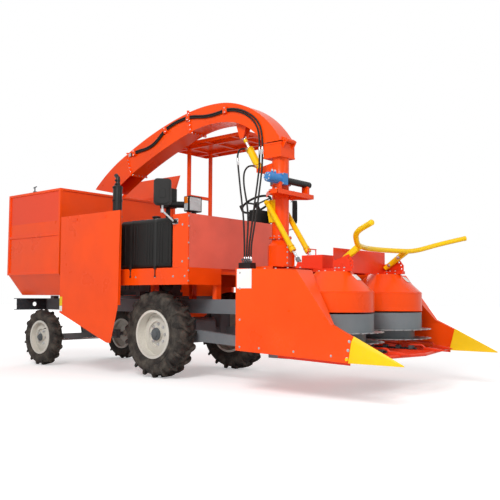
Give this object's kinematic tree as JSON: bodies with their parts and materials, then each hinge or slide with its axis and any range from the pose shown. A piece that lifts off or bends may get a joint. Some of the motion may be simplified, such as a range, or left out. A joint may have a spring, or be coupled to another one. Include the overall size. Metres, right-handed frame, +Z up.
{
  "type": "self-propelled forage harvester",
  "caption": "Self-propelled maize forage harvester with a rotary drum header, a swivelling spout, an open operator's platform and a side-tipping collecting bin.",
  "frame": {"origin": "on the ground under the middle of the machine's box", "axes": "+X forward, towards the header; +Y to the machine's left; +Z up"},
  "size_m": [6.05, 2.2, 3.2311],
  "materials": {
    "orange": "gloss paint",
    "red": "gloss paint",
    "yellow": "gloss paint",
    "grey": "satin paint",
    "chassis_grey": "satin paint",
    "beam_grey": "satin paint",
    "black_paint": "satin paint",
    "blue": "gloss paint",
    "cream": "satin paint",
    "tyre": "matte",
    "hose": "matte",
    "black_plastic": "matte",
    "seat_cover": "matte",
    "steel": "bright",
    "engine": "matte"
  },
  "bodies": {
    "machine": {"chassis_frame": "chassis_grey", "rear_beam": "beam_grey", "front_axle": "chassis_grey", "rear_axle": "chassis_grey", "header_arms": "chassis_grey", "engine_block": "engine", "engine_frame": "chassis_grey", "side_panels": "orange", "exhaust": "black_paint", "air_cleaner": "black_plastic", "platform": "orange", "front_panel": "orange", "fuel_tank": "black_plastic", "seat": "seat_cover", "console": "black_plastic", "steering_wheel": "black_plastic", "canopy": "orange", "ladder": "orange", "mirrors": "black_plastic", "headlamps": "black_plastic", "chopper_housing": "orange", "column": "orange", "lift_bracket": "yellow", "swivel_bracket": "orange", "swivel_worm": "black_paint", "swivel_motor": "blue", "valve_block": "black_paint", "column_hoses": "hose"},
    "knuckle_right": {"knuckle_right": "chassis_grey"},
    "knuckle_left": {"knuckle_left": "chassis_grey"},
    "tie_rod": {"tie_rod": "steel"},
    "header": {"header_frame": "red", "dividers": "orange", "divider_tips": "yellow", "drum_covers": "orange", "push_bar": "yellow", "header_skids": "grey"},
    "rotor_right": {"rotor_right": "grey"},
    "rotor_left": {"rotor_left": "grey"},
    "lift_barrel": {"lift_barrel": "yellow"},
    "lift_rod": {"lift_rod": "steel"},
    "turret": {"turret": "orange"},
    "spout": {"spout_front": "orange", "spout_middle": "orange", "spout_hoses": "hose"},
    "deflector": {"spout_deflector": "orange"},
    "tilt_barrel": {"tilt_barrel": "yellow"},
    "tilt_rod": {"tilt_rod": "steel"},
    "bin": {"bin_body": "orange", "bin_lip": "orange"},
    "tip_barrel": {"tip_barrel": "yellow"},
    "tip_rod": {"tip_rod": "steel"},
    "wheel_front_right": {"tyre_front_right": "tyre", "rim_front_right": "cream"},
    "wheel_front_left": {"tyre_front_left": "tyre", "rim_front_left": "cream"},
    "wheel_rear_right": {"tyre_rear_right": "tyre", "rim_rear_right": "cream"},
    "wheel_rear_left": {"tyre_rear_left": "tyre", "rim_rear_left": "cream"}
  },
  "joints": [
    {"name": "steer_right", "type": "hinge", "parent": "machine", "child": "knuckle_right", "pos_m": [-2.495, -0.58, 0.37085], "axis": [0, 0, 1], "range_deg": [-30, 30]},
    {"name": "steer_left", "type": "hinge", "parent": "machine", "child": "knuckle_left", "pos_m": [-2.495, 0.58, 0.37085], "axis": [0, 0, 1], "range_deg": [-30, 30]},
    {"name": "tie_rod_pivot", "type": "hinge", "parent": "knuckle_right", "child": "tie_rod", "pos_m": [-2.655, -0.58, 0.31085], "axis": [0, 0, 1], "range_deg": [-30, 30]},
    {"name": "wheel_front_right_spin", "type": "hinge", "parent": "machine", "child": "wheel_front_right", "pos_m": [-0.245, -0.647, 0.4914], "axis": [0, 1, 0], "continuous": true},
    {"name": "wheel_rear_right_spin", "type": "hinge", "parent": "knuckle_right", "child": "wheel_rear_right", "pos_m": [-2.495, -0.698, 0.37085], "axis": [0, 1, 0], "continuous": true},
    {"name": "wheel_front_left_spin", "type": "hinge", "parent": "machine", "child": "wheel_front_left", "pos_m": [-0.245, 0.647, 0.4914], "axis": [0, 1, 0], "continuous": true},
    {"name": "wheel_rear_left_spin", "type": "hinge", "parent": "knuckle_left", "child": "wheel_rear_left", "pos_m": [-2.495, 0.698, 0.37085], "axis": [0, 1, 0], "continuous": true},
    {"name": "header_lift", "type": "hinge", "parent": "machine", "child": "header", "pos_m": [1.175, 0, 0.42], "axis": [0, -1, 0], "range_deg": [-10, 8]},
    {"name": "rotor_right_spin", "type": "hinge", "parent": "header", "child": "rotor_right", "pos_m": [2.025, -0.494, 0.6], "axis": [0, 0, 1], "continuous": true},
    {"name": "rotor_left_spin", "type": "hinge", "parent": "header", "child": "rotor_left", "pos_m": [2.025, 0.494, 0.6], "axis": [0, 0, 1], "continuous": true},
    {"name": "lift_barrel_swing", "type": "hinge", "parent": "machine", "child": "lift_barrel", "pos_m": [0.921, 0, 1.96], "axis": [0, 1, 0], "range_deg": [-8, 7]},
    {"name": "lift_rod_slide", "type": "slide", "parent": "lift_barrel", "child": "lift_rod", "axis": [0.5486, 0, -0.8361], "range_m": [-0.11, 0.13]},
    {"name": "spout_swivel", "type": "hinge", "parent": "machine", "child": "turret", "pos_m": [0.998, 0, 2.2], "axis": [0, 0, 1], "range_deg": [0, 105], "deforming": ["column_hoses"]},
    {"name": "spout_lift", "type": "hinge", "parent": "turret", "child": "spout", "pos_m": [1.127, 0, 2.652], "axis": [0, 1, 0], "range_deg": [0, 26]},
    {"name": "deflector_tilt", "type": "hinge", "parent": "spout", "child": "deflector", "pos_m": [-1.525, 0, 2.842], "axis": [0, 1, 0], "range_deg": [0, 30]},
    {"name": "tilt_barrel_swing", "type": "hinge", "parent": "turret", "child": "tilt_barrel", "pos_m": [0.71, 0, 2.361], "axis": [0, 1, 0], "range_deg": [0, 22]},
    {"name": "tilt_rod_slide", "type": "slide", "parent": "tilt_barrel", "child": "tilt_rod", "axis": [-0.511, 0, 0.8596], "range_m": [0, 0.23]},
    {"name": "bin_tip", "type": "hinge", "parent": "machine", "child": "bin", "pos_m": [-2.345, 0.8, 0.9], "axis": [-1, 0, 0], "range_deg": [0, 50]},
    {"name": "tip_barrel_swing", "type": "hinge", "parent": "machine", "child": "tip_barrel", "pos_m": [-1.865, 0.48, 0.44], "axis": [-1, 0, 0], "range_deg": [0, 9]},
    {"name": "tip_rod_slide", "type": "slide", "parent": "tip_barrel", "child": "tip_rod", "axis": [0, 0, 1], "range_m": [0, 0.28]}
  ],
  "couplings": [
    {"joint": "steer_left", "follows": "steer_right", "ratio": 1},
    {"joint": "tie_rod_pivot", "follows": "steer_right", "ratio": -1},
    {"joint": "lift_barrel_swing", "follows": "header_lift", "ratio": 0.6733},
    {"joint": "lift_rod_slide", "follows": "header_lift", "m_per_rad": -0.6506},
    {"joint": "spout_lift", "follows": "bin_tip", "ratio": 0.5},
    {"joint": "tilt_barrel_swing", "follows": "bin_tip", "ratio": 0.3983},
    {"joint": "tilt_rod_slide", "follows": "bin_tip", "m_per_rad": 0.24484},
    {"joint": "tip_barrel_swing", "follows": "bin_tip", "ratio": 0.1516},
    {"joint": "tip_rod_slide", "follows": "bin_tip", "m_per_rad": 0.3001}
  ]
}
